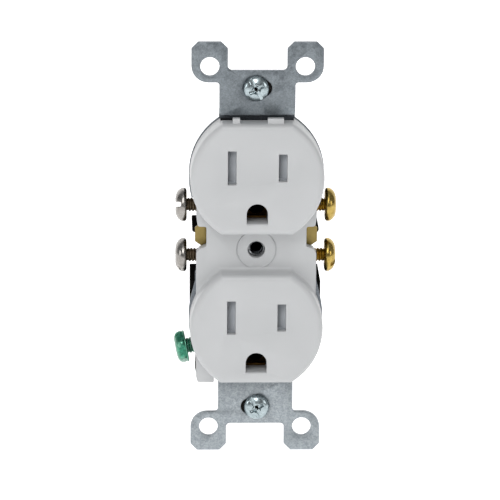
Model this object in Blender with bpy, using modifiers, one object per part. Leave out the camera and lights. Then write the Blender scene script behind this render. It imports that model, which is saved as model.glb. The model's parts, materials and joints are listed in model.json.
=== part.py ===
"""A duplex wall outlet, modelled as the pieces that it comes apart into.

X is to the right, Y into the wall and Z up. The origin is the middle of the device on the plane of
the wall, where the backs of the four ears rest. Sizes are in millimetres, and MM turns them into
Blender's metres. "side" is -1 for the neutral (left) side and +1 for the hot (right) side.
"""

import math

import bmesh
import bpy
from mathutils import Matrix, Vector

MM = 0.001
GAP = 0.3  # between neighbouring pieces
PAST = 3.0  # how far a cutter runs past the face that it opens

# The plan, seen from the front.
FACE_Z = {"upper": 19.45, "lower": -19.45}
FACE_RADIUS = 16.85
FACE_FLAT = 14.3
FACE_EDGE = 1.3
FACE_WALL = 1.95
SLOT_X = 6.35
SLOT_ABOVE_FACE = 3.18
SLOT_WIDTH = 2.15
SLOT_HALF_HEIGHT = {-1: 4.35, 1: 3.55}
GROUND_BELOW_SLOTS = 11.9
GROUND_RADIUS = 2.65
GROUND_FLAT = 2.5
SLEEVE_WALL = 1.6
FASTENER_ABOVE_SLOTS = 7.7
BOSS_RADIUS = 2.6
RIVET_HOLE = 1.55
GROUND_RIVET_ABOVE_PIN = 6.2
MOUNTING_SCREW_Z = 41.67
MOUNTING_SCREW_X = {"upper": -0.35, "lower": 0.35}

# The depths, from the front to the back.
FACE_FRONT = -7.5
CAVITY_FRONT = -5.4
SLEEVE_BACK = -1.0
WEB_FRONT = -2.0
COVER_BACK = 1.1
EAR_FRONT = -1.2
EAR_BACK = 0.0
BRIDGE_FRONT = 1.4
BRIDGE_BACK = 2.6
BODY_FRONT = 2.9
SIDE_STEP = 12.8
BODY_BACK = 24.5

# The strap.
EAR_END = 53.4
EAR_OUTER = 16.5
EAR_INNER = 7.4
EAR_INBOARD = 43.1
EAR_CHAMFER = 1.7
EAR_HOLE = (11.9, 47.15, 2.45)
SCREW_SLOT_LENGTH = 7.3
SCREW_SLOT_WIDTH = 4.1
NOTCH_FLOOR = 46.2
NECK_HALF = 9.5
JOGGLE_OUT = 35.25
JOGGLE_IN = 34.05
LOBE_RADIUS = 17.0
BRIDGE_NOTCH = (-6.4, 12.8)
BRIDGE_NOTCH_X = 12.0

# The terminals and their screws.
TERMINAL_Z = {"upper": 9.78, "lower": -3.43}
SCREW_Y = 6.2
PLATE_INNER = 12.5
PLATE_OUTER = 13.3
PLATE_BACK = 12.5
HEAD_UNDERSIDE_X = 17.57
BINDING_HEAD_RADIUS = 4.3
BINDING_HEAD_HEIGHT = 2.9
SCREW_RADIUS = 1.75
LOOSE_HOLE = SCREW_RADIUS + GAP
FIN_TIP_X = 15.45
GRIP_HALF_HEIGHT = 3.5
GRIP_BACK = 11.7
ARM_SHORT = 1.0  # how far an arm stops short of the end of its grip

# The ground lug at the lower left, and its screw, which leans down and forwards.
LUG_X = (-14.6, -13.4)
LUG_Z = (-31.0, -24.0)
LUG_BACK = 11.0
GROUND_HEAD = (-17.5, 6.1, -27.7)
GROUND_LEAN_DOWN = math.radians(10)
GROUND_LEAN_FORWARD = math.radians(4)
GROUND_SHANK = 2.05

# The body.
BODY_RADIUS = 16.9
BODY_HALF = 16.5
BODY_END = 34.4
TAPER_TOP = 6.8  # how much lower the top is at the back than at the front
TAPER_BOTTOM = 3.4
TERMINAL_ZONE = (-9.5, 15.5)
TERMINAL_ZONE_X = 12.2
RECESS_X = 13.3
BARRIER_X = 16.1
BARRIER_Y = (6.1, 17.8)
BARRIER_Z = (2.5, 3.85)
RIVET_HEAD_Y = {"upper": 7.5, "lower": 22.5}
WIRE_HOLE_X = 10.7
WIRE_HOLE_RADIUS = 1.3

# The shutters, which slide to +X when a plug's blades press on their ramps.
SHUTTER_TRAVEL = 2.8
SHUTTER_Y = (-5.1, -3.5)
SHUTTER_HALF_HEIGHT = 4.6
GUIDE_Y = (-3.2, -2.0)
SPRING_BELOW_SLOTS = 5.95
SPRING_RADIUS = 0.85
SPRING_WIRE = 0.14
SPRING_TURNS = 5
LUG_FACE_X = -4.2
POST_FACE_X = 3.8

WHITE = (0.58, 0.585, 0.595)
BLACK = (0.004, 0.004, 0.0037)
ZINC = (0.33, 0.37, 0.40)
BRASS = (0.55, 0.38, 0.13)
NICKEL = (0.52, 0.50, 0.47)
STEEL = (0.40, 0.41, 0.42)
GREEN = (0.02, 0.21, 0.12)
FIBRE = (0.03, 0.027, 0.024)
GREY = (0.30, 0.31, 0.33)


def clear_scene():
    for obj in list(bpy.data.objects):
        bpy.data.objects.remove(obj, do_unlink=True)


def new_collection(name):
    made = bpy.data.collections.new(name)
    bpy.context.scene.collection.children.link(made)
    return made


clear_scene()
OUTLET = new_collection("duplex_outlet")
TOOLS = new_collection("tools")


# Plane outlines, as lists of (across, up).


def arc(centre, radius, start, end, steps):
    """Points along an arc from start to end, in degrees, with both ends."""
    angles = [math.radians(start + (end - start) * i / steps) for i in range(steps + 1)]
    return [(centre[0] + radius * math.cos(a), centre[1] + radius * math.sin(a)) for a in angles]


def mirrored(right_side):
    """The right side of an outline, followed by its mirror image in the axis x = 0."""
    return right_side + [(-x, y) for x, y in reversed(right_side)]


def clipped_circle(centre_z, radius, flat, steps=14):
    lean = math.degrees(math.asin(flat / radius))
    return mirrored(arc((0, centre_z), radius, lean, -lean, steps))


def arch(centre_z, radius, flat, steps=12):
    """A half round on top of a rectangle, as a ground pin's hole has."""
    foot = centre_z - flat
    return arc((0, centre_z), radius, 0, 180, steps) + [(-radius, foot), (radius, foot)]


def slot_outline(centre, length, width, steps=8):
    x = (length - width) / 2
    right = arc((centre[0] + x, centre[1]), width / 2, -90, 90, steps)
    return right + arc((centre[0] - x, centre[1]), width / 2, 90, 270, steps)


def rounded(corners, steps=4):
    """An outline from corners (across, up, radius), each rounded by an arc that touches its two sides."""
    points = []
    for i, (across, up, radius) in enumerate(corners):
        here = Vector((across, up))
        if not radius:
            points.append((across, up))
            continue
        before = (Vector(corners[i - 1][:2]) - here).normalized()
        after = (Vector(corners[(i + 1) % len(corners)][:2]) - here).normalized()
        half = math.acos(max(-1.0, min(1.0, before.dot(after)))) / 2
        centre = here + (before + after).normalized() * (radius / math.sin(half))
        first = here + before * (radius / math.tan(half)) - centre
        last = here + after * (radius / math.tan(half)) - centre
        start = math.atan2(first.y, first.x)
        turn = (math.atan2(last.y, last.x) - start + math.pi) % (2 * math.pi) - math.pi
        points += arc(centre, radius, math.degrees(start), math.degrees(start + turn), steps)
    return points


# Solids. Each is made in the tools collection, and node() takes what becomes a piece out of it.


def add_mesh(name, mesh):
    obj = bpy.data.objects.new(name, mesh)
    TOOLS.objects.link(obj)
    obj.hide_render = True
    obj.display_type = "WIRE"
    return obj


def from_bmesh(name, bm):
    mesh = bpy.data.meshes.new(name)
    bm.to_mesh(mesh)
    bm.free()
    return add_mesh(name, mesh)


def box(name, x, y, z):
    """A box between the two values of each of x, y and z, given in either order."""
    bm = bmesh.new()
    bmesh.ops.create_cube(bm, size=1)
    spans = [abs(v[1] - v[0]) * MM for v in (x, y, z)]
    middle = Vector([(v[0] + v[1]) / 2 * MM for v in (x, y, z)])
    matrix = Matrix.Translation(middle) @ Matrix.Diagonal((*spans, 1))
    bmesh.ops.transform(bm, matrix=matrix, verts=bm.verts)
    return from_bmesh(name, bm)


def aimed(at, direction):
    """The matrix that takes +Z at the origin to a direction from a point."""
    turn = Vector((0, 0, 1)).rotation_difference(Vector(direction))
    return Matrix.Translation(Vector(at) * MM) @ turn.to_matrix().to_4x4()


def rod(name, start, end, radius, sides=24):
    """A cylinder from start to end."""
    along = Vector(end) - Vector(start)
    bm = bmesh.new()
    ends = {"radius1": radius * MM, "radius2": radius * MM}
    bmesh.ops.create_cone(bm, cap_ends=True, segments=sides, depth=along.length * MM, **ends)
    middle = (Vector(start) + Vector(end)) / 2
    bmesh.ops.transform(bm, matrix=aimed(middle, along), verts=bm.verts)
    return from_bmesh(name, bm)


def baked(obj, name):
    """The object's evaluated mesh in a new object, welded, with each open end closed by one face."""
    bpy.context.view_layer.update()
    evaluated = obj.evaluated_get(bpy.context.evaluated_depsgraph_get())
    mesh = bpy.data.meshes.new_from_object(evaluated)
    mesh.transform(obj.matrix_world)
    bpy.data.objects.remove(obj, do_unlink=True)
    bm = bmesh.new()
    bm.from_mesh(mesh)
    bmesh.ops.remove_doubles(bm, verts=bm.verts, dist=1e-6)
    bmesh.ops.holes_fill(bm, edges=[edge for edge in bm.edges if edge.is_boundary])
    bmesh.ops.recalc_face_normals(bm, faces=bm.faces)
    bm.to_mesh(mesh)
    bm.free()
    mesh.name = name
    return add_mesh(name, mesh)


PLANES = {
    "X": Matrix(((0, 0, 1, 0), (1, 0, 0, 0), (0, 1, 0, 0), (0, 0, 0, 1))),
    "Y": Matrix(((1, 0, 0, 0), (0, 0, -1, 0), (0, 1, 0, 0), (0, 0, 0, 1))),
    "Z": Matrix.Identity(4),
}


def slab(name, outline, axis, low, high):
    """A flat outline pushed along an axis, from low to high. Its plane is YZ, XZ or XY.

    The curve's own fill leaves slivers where corners lie in one line, so baked() closes its two ends.
    """
    curve = bpy.data.curves.new(name, "CURVE")
    curve.dimensions = "2D"
    curve.fill_mode = "NONE"
    curve.extrude = (high - low) / 2 * MM
    spline = curve.splines.new("POLY")
    spline.points.add(len(outline) - 1)
    for point, (across, up) in zip(spline.points, outline):
        point.co = (across * MM, up * MM, 0, 1)
    spline.use_cyclic_u = True
    obj = bpy.data.objects.new(name, curve)
    TOOLS.objects.link(obj)
    middle = Vector([(low + high) / 2 * MM if axis == letter else 0 for letter in "XYZ"])
    obj.matrix_world = Matrix.Translation(middle) @ PLANES[axis]
    return baked(obj, name)


def tapered(name, near, far, front, back):
    """A solid along Y between two outlines that have equally many points."""
    bm = bmesh.new()
    rings = []
    for outline, depth in ((near, front), (far, back)):
        rings.append([bm.verts.new(Vector((x, depth, z)) * MM) for x, z in outline])
        bm.faces.new(rings[-1])
    first, last = rings
    for i in range(len(first)):
        bm.faces.new((first[i - 1], first[i], last[i], last[i - 1]))
    bmesh.ops.recalc_face_normals(bm, faces=bm.faces)
    return from_bmesh(name, bm)


def turned(name, profile, at, direction, steps=20):
    """A profile of (radius, height) from top to bottom, turned about the axis at a point."""
    mesh = bpy.data.meshes.new(name)
    points = [(radius * MM, 0, height * MM) for radius, height in profile]
    mesh.from_pydata(points, [(i, i + 1) for i in range(len(points) - 1)], [])
    obj = bpy.data.objects.new(name, mesh)
    TOOLS.objects.link(obj)
    screw = obj.modifiers.new("turn", "SCREW")
    screw.steps = screw.render_steps = steps
    screw.use_merge_vertices = True
    screw.merge_threshold = 1e-6
    obj.matrix_world = aimed(at, direction)
    return baked(obj, name)


def soften(obj, width, segments, wanted):
    """Rounds the sharp edges whose ends are both wanted, a test of a point in millimetres."""
    bm = bmesh.new()
    bm.from_mesh(obj.data)
    sharp = math.radians(30)
    edges = [edge for edge in bm.edges if edge.calc_face_angle(0) > sharp]
    edges = [edge for edge in edges if all(wanted(vertex.co / MM) for vertex in edge.verts)]
    shape = {"offset": width * MM, "segments": segments, "profile": 0.5}
    bmesh.ops.bevel(bm, geom=edges, affect="EDGES", clamp_overlap=True, **shape)
    bm.to_mesh(obj.data)
    bm.free()
    return obj


def at_depth(depth):
    return lambda point: abs(point.y - depth) < 1e-3


def combine(obj, operation, others):
    for other in others:
        modifier = obj.modifiers.new(other.name, "BOOLEAN")
        modifier.operation = operation
        modifier.solver = "EXACT"
        modifier.object = other
    return obj


def join(obj, *others):
    return combine(obj, "UNION", others)


def cut(obj, *others):
    return combine(obj, "DIFFERENCE", others)


def node(name, obj, colour, roughness, metallic, origin=(0, 0, 0)):
    """Makes a solid a piece of the outlet, with its own material and its origin where it moves about."""
    TOOLS.objects.unlink(obj)
    OUTLET.objects.link(obj)
    obj.name = name
    obj.hide_render = False
    obj.display_type = "TEXTURED"
    place = Vector(origin) * MM
    obj.data.transform(Matrix.Translation(-place))
    obj.location = place
    material = bpy.data.materials.new(name)
    material.use_nodes = True
    shader = material.node_tree.nodes["Principled BSDF"]
    shader.inputs["Base Color"].default_value = (*colour, 1)
    shader.inputs["Roughness"].default_value = roughness
    shader.inputs["Metallic"].default_value = metallic
    obj.data.materials.clear()
    obj.data.materials.append(material)
    obj.data.shade_smooth()
    obj.data.set_sharp_from_angle(angle=math.radians(35))
    return obj


def slot_z(outlet):
    return FACE_Z[outlet] + SLOT_ABOVE_FACE


def ground_z(outlet):
    return slot_z(outlet) - GROUND_BELOW_SLOTS


def fastener_z(outlet):
    return slot_z(outlet) + FASTENER_ABOVE_SLOTS


# The white cover.


def web_outline():
    """The web between the faces: a shoulder, a waist that clears the break-off fins, and a shoulder."""
    half = 15.15
    upper_shoulder = [(half, 13.0), (half, 9.6), (14.95, 7.1), (14.3, 6.2), (13.1, 6.0)]
    waist = [(12.6, 5.4), (12.6, 1.2)]
    lower_shoulder = [(13.2, 0.7), (14.5, 0.15), (half, -0.9), (half, -13.0)]
    return mirrored(upper_shoulder + waist + lower_shoulder)


def cover_corner():
    """The square corner that hides the ground lug, at the lower left."""
    outer = [(-15.15, -26.0), (-15.15, -33.5), (-14.7, -34.9)]
    inner = [(-10.6, -35.0), (-10.6, -31.5), (-9.0, -26.0)]
    return slab("cover_corner", outer + inner, "Y", WEB_FRONT, COVER_BACK)


def cover_rib(name, left, right):
    """A small stop on the cover's top wall, in front of the strap's neck."""
    top = FACE_Z["upper"] + FACE_FLAT
    return box(name, (left, right), (-6.1, -4.4), (top - 1, top + 1.25))


def face_block(outlet):
    outline = clipped_circle(FACE_Z[outlet], FACE_RADIUS, FACE_FLAT)
    block = slab(f"{outlet}_face", outline, "Y", FACE_FRONT, COVER_BACK)
    return soften(block, FACE_EDGE, 3, at_depth(FACE_FRONT))


def hollow_face(cover, outlet):
    """Opens one face from behind, adds the ground pin's sleeve and the fastener's boss, and cuts the holes."""
    z = slot_z(outlet)
    ground = ground_z(outlet)
    fastener = fastener_z(outlet)
    cavity = clipped_circle(FACE_Z[outlet], FACE_RADIUS - FACE_WALL, FACE_FLAT - FACE_WALL)
    cut(cover, slab(f"{outlet}_cavity", cavity, "Y", CAVITY_FRONT, COVER_BACK + PAST))
    sleeve = arch(ground, GROUND_RADIUS + SLEEVE_WALL, GROUND_FLAT + SLEEVE_WALL)
    join(cover, slab(f"{outlet}_sleeve", sleeve, "Y", CAVITY_FRONT - 1, SLEEVE_BACK))
    boss = ((0, CAVITY_FRONT - 1, fastener), (0, COVER_BACK, fastener))
    join(cover, rod(f"{outlet}_boss", *boss, BOSS_RADIUS, 20))
    hole = arch(ground, GROUND_RADIUS, GROUND_FLAT)
    cut(cover, slab(f"{outlet}_ground_hole", hole, "Y", FACE_FRONT - PAST, SLEEVE_BACK + 1))
    for side, half_height in SLOT_HALF_HEIGHT.items():
        across = (side * SLOT_X - SLOT_WIDTH / 2, side * SLOT_X + SLOT_WIDTH / 2)
        depth = (FACE_FRONT - PAST, CAVITY_FRONT + 1)
        cut(cover, box(f"{outlet}_slot_{side}", across, depth, (z - half_height, z + half_height)))
    blind_hole = ((0, CAVITY_FRONT + 1.5, fastener), (0, COVER_BACK + PAST, fastener))
    cut(cover, rod(f"{outlet}_boss_hole", *blind_hole, RIVET_HOLE, 16))


def make_cover():
    cover = slab("web", web_outline(), "Y", WEB_FRONT, COVER_BACK)
    join(cover, face_block("upper"), face_block("lower"), cover_corner())
    join(cover, cover_rib("rib_left", -6.25, -4.4), cover_rib("rib_right", 2.45, 6.5))
    for outlet in FACE_Z:
        hollow_face(cover, outlet)
    cut(cover, rod("dish", (0, WEB_FRONT - PAST, 0.15), (0, WEB_FRONT + 0.5, 0.15), 4.9, 28))
    cut(cover, rod("centre_hole", (0, WEB_FRONT - PAST, 0), (0, COVER_BACK + PAST, 0), 2.15))
    node("front_cover", cover, WHITE, 0.35, 0.0)


# The galvanised strap.


def ear_outline(up):
    """One end of the strap: two ears, the notch between them and the neck. up is +1 or -1."""
    right = [
        (EAR_INNER, NOTCH_FLOOR, 1.0),
        (EAR_INNER, EAR_END - EAR_CHAMFER, 0.4),
        (EAR_INNER + EAR_CHAMFER, EAR_END, 0.4),
        (EAR_OUTER - EAR_CHAMFER, EAR_END, 0.4),
        (EAR_OUTER, EAR_END - EAR_CHAMFER, 0.4),
        (EAR_OUTER, EAR_INBOARD, 4.2),
        (NECK_HALF, EAR_INBOARD, 0.8),
        (NECK_HALF, JOGGLE_OUT - 0.4, 1.5),
    ]
    corners = right + [(-x, z, r) for x, z, r in reversed(right)]
    return [(x, up * z) for x, z in rounded(corners)]


def bridge_outline():
    """The strap's middle, behind the cover, notched where the live terminals stand."""
    low, high = BRIDGE_NOTCH
    face = FACE_Z["upper"]
    lean = math.degrees(math.acos(NECK_HALF / LOBE_RADIUS))
    shoulder = [(16.95, 16.2), (16.7, 14.5), (16.4, 13.1)]
    upper = [(NECK_HALF, JOGGLE_OUT)] + arc((0, face), LOBE_RADIUS, lean, 0, 10) + shoulder
    notch = [(16.3, high), (BRIDGE_NOTCH_X, high), (BRIDGE_NOTCH_X, low)]
    flank = [(15.4, low), (15.4, -9.0), (15.9, -11.0)]
    lower = [(x, -z) for x, z in reversed(upper)]
    return mirrored(upper + notch + flank + lower)


def joggle(up):
    """The step from the ears' plane back to the middle's plane, rounded where it bends."""
    profile = [
        (EAR_FRONT, up * JOGGLE_IN, 1.0),
        (BRIDGE_BACK - 0.4, up * JOGGLE_IN, 0),
        (BRIDGE_BACK - 0.4, up * JOGGLE_OUT, 0),
        (EAR_FRONT, up * JOGGLE_OUT, 0),
    ]
    return slab(f"joggle_{up}", rounded(profile), "X", -NECK_HALF + 0.9, NECK_HALF - 0.9)


def ground_screw_direction():
    """Out of the lug: to the left, leaning down and forwards."""
    down = math.sin(GROUND_LEAN_DOWN)
    forward = math.sin(GROUND_LEAN_FORWARD)
    return Vector((-math.sqrt(1 - down**2 - forward**2), -forward, -down))


def ground_bore(name, radius, depth):
    """A cutter along the ground screw's axis, reaching a depth beyond its head."""
    outward = ground_screw_direction()
    head = Vector(GROUND_HEAD)
    return rod(name, head + outward * PAST, head - outward * depth, radius)


def strap_windows(outlet):
    """The holes that let blades, ground pin, rivet and fastener through one half of the strap."""
    z = slot_z(outlet)
    ground = ground_z(outlet)
    through = (BRIDGE_FRONT - PAST, BRIDGE_BACK + PAST)
    for side in (-1, 1):
        yield box(f"{outlet}_window_{side}", (side * 4.1, side * 9.0), through, (z - 5.6, z + 5.6))
    holes = {
        "pin": (ground, 3.9),
        "rivet": (ground + GROUND_RIVET_ABOVE_PIN, 1.4),
        "fastener": (fastener_z(outlet), RIVET_HOLE + 0.05),
    }
    for name, (height, radius) in holes.items():
        yield rod(f"{outlet}_{name}_hole", (0, through[0], height), (0, through[1], height), radius, 20)


def strap_end_holes(outlet, up):
    across, height, radius = EAR_HOLE
    through = (EAR_FRONT - PAST, EAR_BACK + PAST)
    for side in (-1, 1):
        x = side * across
        z = up * height
        yield rod(f"{outlet}_ear_hole_{side}", (x, through[0], z), (x, through[1], z), radius)
    outline = slot_outline((0, up * MOUNTING_SCREW_Z), SCREW_SLOT_LENGTH, SCREW_SLOT_WIDTH)
    yield slab(f"{outlet}_screw_slot", outline, "Y", *through)


def make_strap():
    strap = slab("bridge", bridge_outline(), "Y", BRIDGE_FRONT, BRIDGE_BACK)
    for outlet, up in (("upper", 1), ("lower", -1)):
        join(strap, joggle(up), slab(f"{outlet}_ears", ear_outline(up), "Y", EAR_FRONT, EAR_BACK))
    cut(strap, box("lug_relief", (-20, LUG_X[0]), (0, 4), (LUG_Z[0] - 0.4, LUG_Z[1] + 0.4)))
    join(strap, box("lug", LUG_X, (BRIDGE_FRONT, LUG_BACK), LUG_Z))
    cut(strap, ground_bore("lug_bore", GROUND_SHANK + 0.35, 12))
    for outlet, up in (("upper", 1), ("lower", -1)):
        cut(strap, *strap_windows(outlet), *strap_end_holes(outlet, up))
    cut(strap, rod("tapped_centre", (0, BRIDGE_FRONT - PAST, 0), (0, BRIDGE_BACK + PAST, 0), 1.45, 20))
    node("mounting_strap", strap, ZINC, 0.45, 0.9)


# The black body.


def body_outline(lower_top, higher_bottom):
    """Two round ends joined by straight sides, with a slanted corner behind the ground lug."""
    face = FACE_Z["upper"]
    end = math.degrees(math.asin((BODY_END - face) / BODY_RADIUS))
    side = math.degrees(math.acos(BODY_HALF / BODY_RADIUS))
    top = arc((0, face - lower_top), BODY_RADIUS, end, side, 8)
    bottom = arc((0, higher_bottom - face), BODY_RADIUS, -side, -end, 8)
    corner = [(-15.0, higher_bottom - BODY_END), (-BODY_HALF, higher_bottom - 26.7)]
    return top + bottom + corner + [(-x, z) for x, z in reversed(top)]


def side_spaces(side):
    """The room for the terminal screws and their wires on one side, open to the back."""
    beyond = side * 20
    low, high = TERMINAL_ZONE
    depth = (BODY_FRONT - PAST, SIDE_STEP)
    yield box(f"side_{side}", (side * TERMINAL_ZONE_X, beyond), depth, TERMINAL_ZONE)
    floor = [(SIDE_STEP - 0.2, low), (SIDE_STEP + 6, low), (BODY_BACK + PAST, low - 2.4)]
    recess = floor + [(BODY_BACK + PAST, high), (SIDE_STEP - 0.2, high)]
    yield slab(f"recess_{side}", recess, "X", *sorted((side * RECESS_X, beyond)))
    for outlet, z in TERMINAL_Z.items():
        ends = ((side * 5.0, SCREW_Y, z), (side * 14, SCREW_Y, z))
        yield rod(f"screw_room_{outlet}_{side}", *ends, LOOSE_HOLE + 0.1, 16)


def barrier(side):
    """The rib between the two screws of one side. It reaches through the terminal's window."""
    low, high = BARRIER_Z
    inner = TERMINAL_ZONE_X - 0.4
    corners = [(inner, low, 0), (BARRIER_X, low, 0.6), (BARRIER_X, high, 0.3), (inner, high, 0)]
    outline = [(side * x, z) for x, z in rounded(corners)]
    return slab(f"barrier_{side}", outline, "Y", *BARRIER_Y)


def terminal_pockets(side):
    """The pockets for the two blade grips of one terminal, and for the arms that carry them."""
    depth = (0, SIDE_STEP)
    grip = GRIP_HALF_HEIGHT + 0.35
    for outlet in FACE_Z:
        z = slot_z(outlet)
        yield box(f"grip_{outlet}_{side}", (side * 4.2, side * 13.2), depth, (z - grip, z + grip))
    arm = (side * TERMINAL_ZONE_X, side * 13.6)
    reach = GRIP_HALF_HEIGHT - ARM_SHORT + 0.35
    low, high = TERMINAL_ZONE
    yield box(f"arm_upper_{side}", arm, depth, (high - 1, slot_z("upper") + reach))
    yield box(f"arm_lower_{side}", arm, depth, (slot_z("lower") - reach, low + 1))


def clamp_rooms(side):
    """A pocket for each push-in clamp, with its wire hole and release slot in the back."""
    for outlet, z in TERMINAL_Z.items():
        room = (side * 8.8, side * 12.6)
        yield box(f"clamp_room_{outlet}_{side}", room, (9.0, 16.0), (z - 2.1, z + 2.1))
        ends = ((side * WIRE_HOLE_X, 15, z), (side * WIRE_HOLE_X, BODY_BACK + PAST, z))
        yield rod(f"wire_hole_{outlet}_{side}", *ends, WIRE_HOLE_RADIUS, 16)
        release = (side * 7.1, side * 8.1)
        yield box(f"release_{outlet}_{side}", release, (22.0, BODY_BACK + PAST), (z - 1.5, z + 1.5))


def middle_pockets(outlet):
    """The pockets on the centre line for a ground contact and a fastener."""
    ground = ground_z(outlet)
    yield box(f"ground_room_{outlet}", (-3.7, 3.7), (0, 14.0), (ground - 3.6, ground + 3.6))
    yield box(f"ground_tab_room_{outlet}", (-2.9, 2.9), (0, 5.2), (ground + 3, ground + 8.6))
    z = fastener_z(outlet)
    seat = RIVET_HEAD_Y[outlet] - GAP
    yield rod(f"fastener_hole_{outlet}", (0, 0, z), (0, BODY_BACK + PAST, z), RIVET_HOLE, 16)
    yield rod(f"fastener_recess_{outlet}", (0, seat, z), (0, BODY_BACK + PAST, z), 3.0, 24)


def make_body():
    back = body_outline(TAPER_TOP, TAPER_BOTTOM)
    body = tapered("body", body_outline(0, 0), back, BODY_FRONT, BODY_BACK)
    soften(body, 1.0, 1, at_depth(BODY_BACK))
    for side in (-1, 1):
        cut(body, *side_spaces(side), *terminal_pockets(side), *clamp_rooms(side))
        join(body, barrier(side))
    for outlet in FACE_Z:
        cut(body, *middle_pockets(outlet))
    cut(body, box("lug_room", (-20, -13.1), (0, SIDE_STEP), (-32.3, -23.0)))
    cut(body, ground_bore("ground_room", GROUND_SHANK + 0.4, 10.5))
    cut(body, rod("centre_room", (0, 0, 0), (0, 10, 0), 2.5, 16))
    cut(body, box("strip_gauge", (3.0, 4.4), (BODY_BACK - 0.8, BODY_BACK + PAST), (14.0, 26.0)))
    node("back_body", body, BLACK, 0.3, 0.0)


# The live parts.


def plate_outline():
    """The folded side plate in the plane YZ: two screw plates, the link between them and two arms."""
    arm = 9.8
    upper_arm = slot_z("upper") + GRIP_HALF_HEIGHT - ARM_SHORT
    lower_arm = slot_z("lower") - GRIP_HALF_HEIGHT + ARM_SHORT
    link_front = BRIDGE_FRONT + 0.2
    link = [(link_front, 0.1), (link_front, 6.2), (BODY_FRONT, 6.2)]
    upper = [(BODY_FRONT, 15.2), (arm, 15.2), (arm, upper_arm), (PLATE_BACK, upper_arm), (PLATE_BACK, 5.0)]
    window = [(3.6, 5.0), (3.6, 1.4)]
    lower = [(PLATE_BACK, 1.4), (PLATE_BACK, lower_arm), (arm, lower_arm), (arm, -8.8), (BODY_FRONT, -8.8)]
    return link + upper + window + lower + [(BODY_FRONT, 0.1)]


def grip_outline(side):
    """A U-shaped blade grip with flared mouths, and the web that joins it to the side plate."""
    left_leaf = [(4.8, 3.4), (5.2, 3.2), (5.7, 4.8), (5.7, GRIP_BACK)]
    right_leaf = [(7.0, GRIP_BACK), (7.0, 4.8), (7.5, 3.2), (7.9, 3.4), (7.5, 5.0), (7.5, GRIP_BACK)]
    web_back = PLATE_BACK - 0.2
    web = [(12.9, GRIP_BACK), (12.9, web_back), (5.2, web_back), (5.2, 5.0)]
    return [(side * x, y) for x, y in left_leaf + right_leaf + web]


def fin_outline(side):
    """The break-off fin, seen from the front."""
    inner = PLATE_INNER + 0.3
    lower = [(inner, -0.1), (PLATE_OUTER, -0.1), (FIN_TIP_X, 1.4)]
    upper = [(FIN_TIP_X, 5.0), (PLATE_OUTER, 6.4), (inner, 6.4)]
    return [(side * x, z) for x, z in lower + upper]


def make_terminal(name, side, metal):
    across = sorted((side * PLATE_INNER, side * PLATE_OUTER))
    terminal = slab(f"{name}_plate", plate_outline(), "X", *across)
    join(terminal, slab(f"{name}_fin", fin_outline(side), "Y", BRIDGE_FRONT, BRIDGE_FRONT + 0.8))
    for outlet in FACE_Z:
        z = slot_z(outlet)
        heights = (z - GRIP_HALF_HEIGHT, z + GRIP_HALF_HEIGHT)
        join(terminal, slab(f"{name}_{outlet}_grip", grip_outline(side), "Z", *heights))
    for outlet, z in TERMINAL_Z.items():
        ends = ((side * 10, SCREW_Y, z), (side * 16, SCREW_Y, z))
        cut(terminal, rod(f"{name}_{outlet}_bore", *ends, LOOSE_HOLE))
    node(name, terminal, metal, 0.35, 1.0)


def clamp_outline(side):
    """A bent spring strip: its back lies on the body, and its tongue bites the wire."""
    back = [(9.2, 9.4), (9.6, 9.4), (9.6, 14.7)]
    tongue = [(11.4, 11.0), (11.75, 11.2), (9.75, 15.6), (9.2, 15.6)]
    return [(side * x, y) for x, y in back + tongue]


def make_clamps():
    for side_name, side in (("neutral", -1), ("hot", 1)):
        for outlet, z in TERMINAL_Z.items():
            name = f"{side_name}_{outlet}_wire_clamp"
            node(name, slab(name, clamp_outline(side), "Z", z - 1.7, z + 1.7), STEEL, 0.3, 1.0)


# The screws and rivets.


def screw_profile(head_radius, head_height, shank_radius, shank_length):
    """A domed head on a plain shank with a blunt point, from the top of the head down."""
    return [
        (0, head_height),
        (head_radius * 0.6, head_height * 0.93),
        (head_radius * 0.9, head_height * 0.66),
        (head_radius, head_height * 0.35),
        (head_radius, 0),
        (shank_radius, 0),
        (shank_radius, -shank_length + 0.6),
        (shank_radius * 0.7, -shank_length),
        (0, -shank_length),
    ]


def driver_slot(name, at, direction, along, length, width, top, depth):
    """A straight slot in a head: a box that reaches a depth below the head's top."""
    outward = Vector(direction).normalized()
    run = Vector(along).normalized()
    across = outward.cross(run)
    frame = Matrix((run, across, outward)).transposed().to_4x4()
    bm = bmesh.new()
    bmesh.ops.create_cube(bm, size=1)
    height = depth + PAST
    middle = Vector(at) + outward * (top - depth + height / 2)
    sizes = Matrix.Diagonal((length * MM, width * MM, height * MM, 1))
    bmesh.ops.transform(bm, matrix=Matrix.Translation(middle * MM) @ frame @ sizes, verts=bm.verts)
    return from_bmesh(name, bm)


def make_terminal_screws():
    """Four binding screws. Each slot stands at its own angle, from upright towards the wall."""
    turns = {
        ("neutral", "upper"): 90,
        ("neutral", "lower"): 35,
        ("hot", "upper"): 20,
        ("hot", "lower"): 65,
    }
    for side_name, side, metal in (("neutral", -1, NICKEL), ("hot", 1, BRASS)):
        for outlet, z in TERMINAL_Z.items():
            name = f"{side_name}_{outlet}_screw"
            at = (side * HEAD_UNDERSIDE_X, SCREW_Y, z)
            outward = (side, 0, 0)
            profile = screw_profile(BINDING_HEAD_RADIUS, BINDING_HEAD_HEIGHT, SCREW_RADIUS, 8.0)
            screw = turned(f"{name}_blank", profile, at, outward)
            angle = math.radians(turns[side_name, outlet])
            along = (0, math.sin(angle), math.cos(angle))
            slot = driver_slot(f"{name}_slot", at, outward, along, 10, 1.1, BINDING_HEAD_HEIGHT, 1.2)
            cut(screw, slot)
            node(name, screw, metal, 0.3, 1.0, at)


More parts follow.
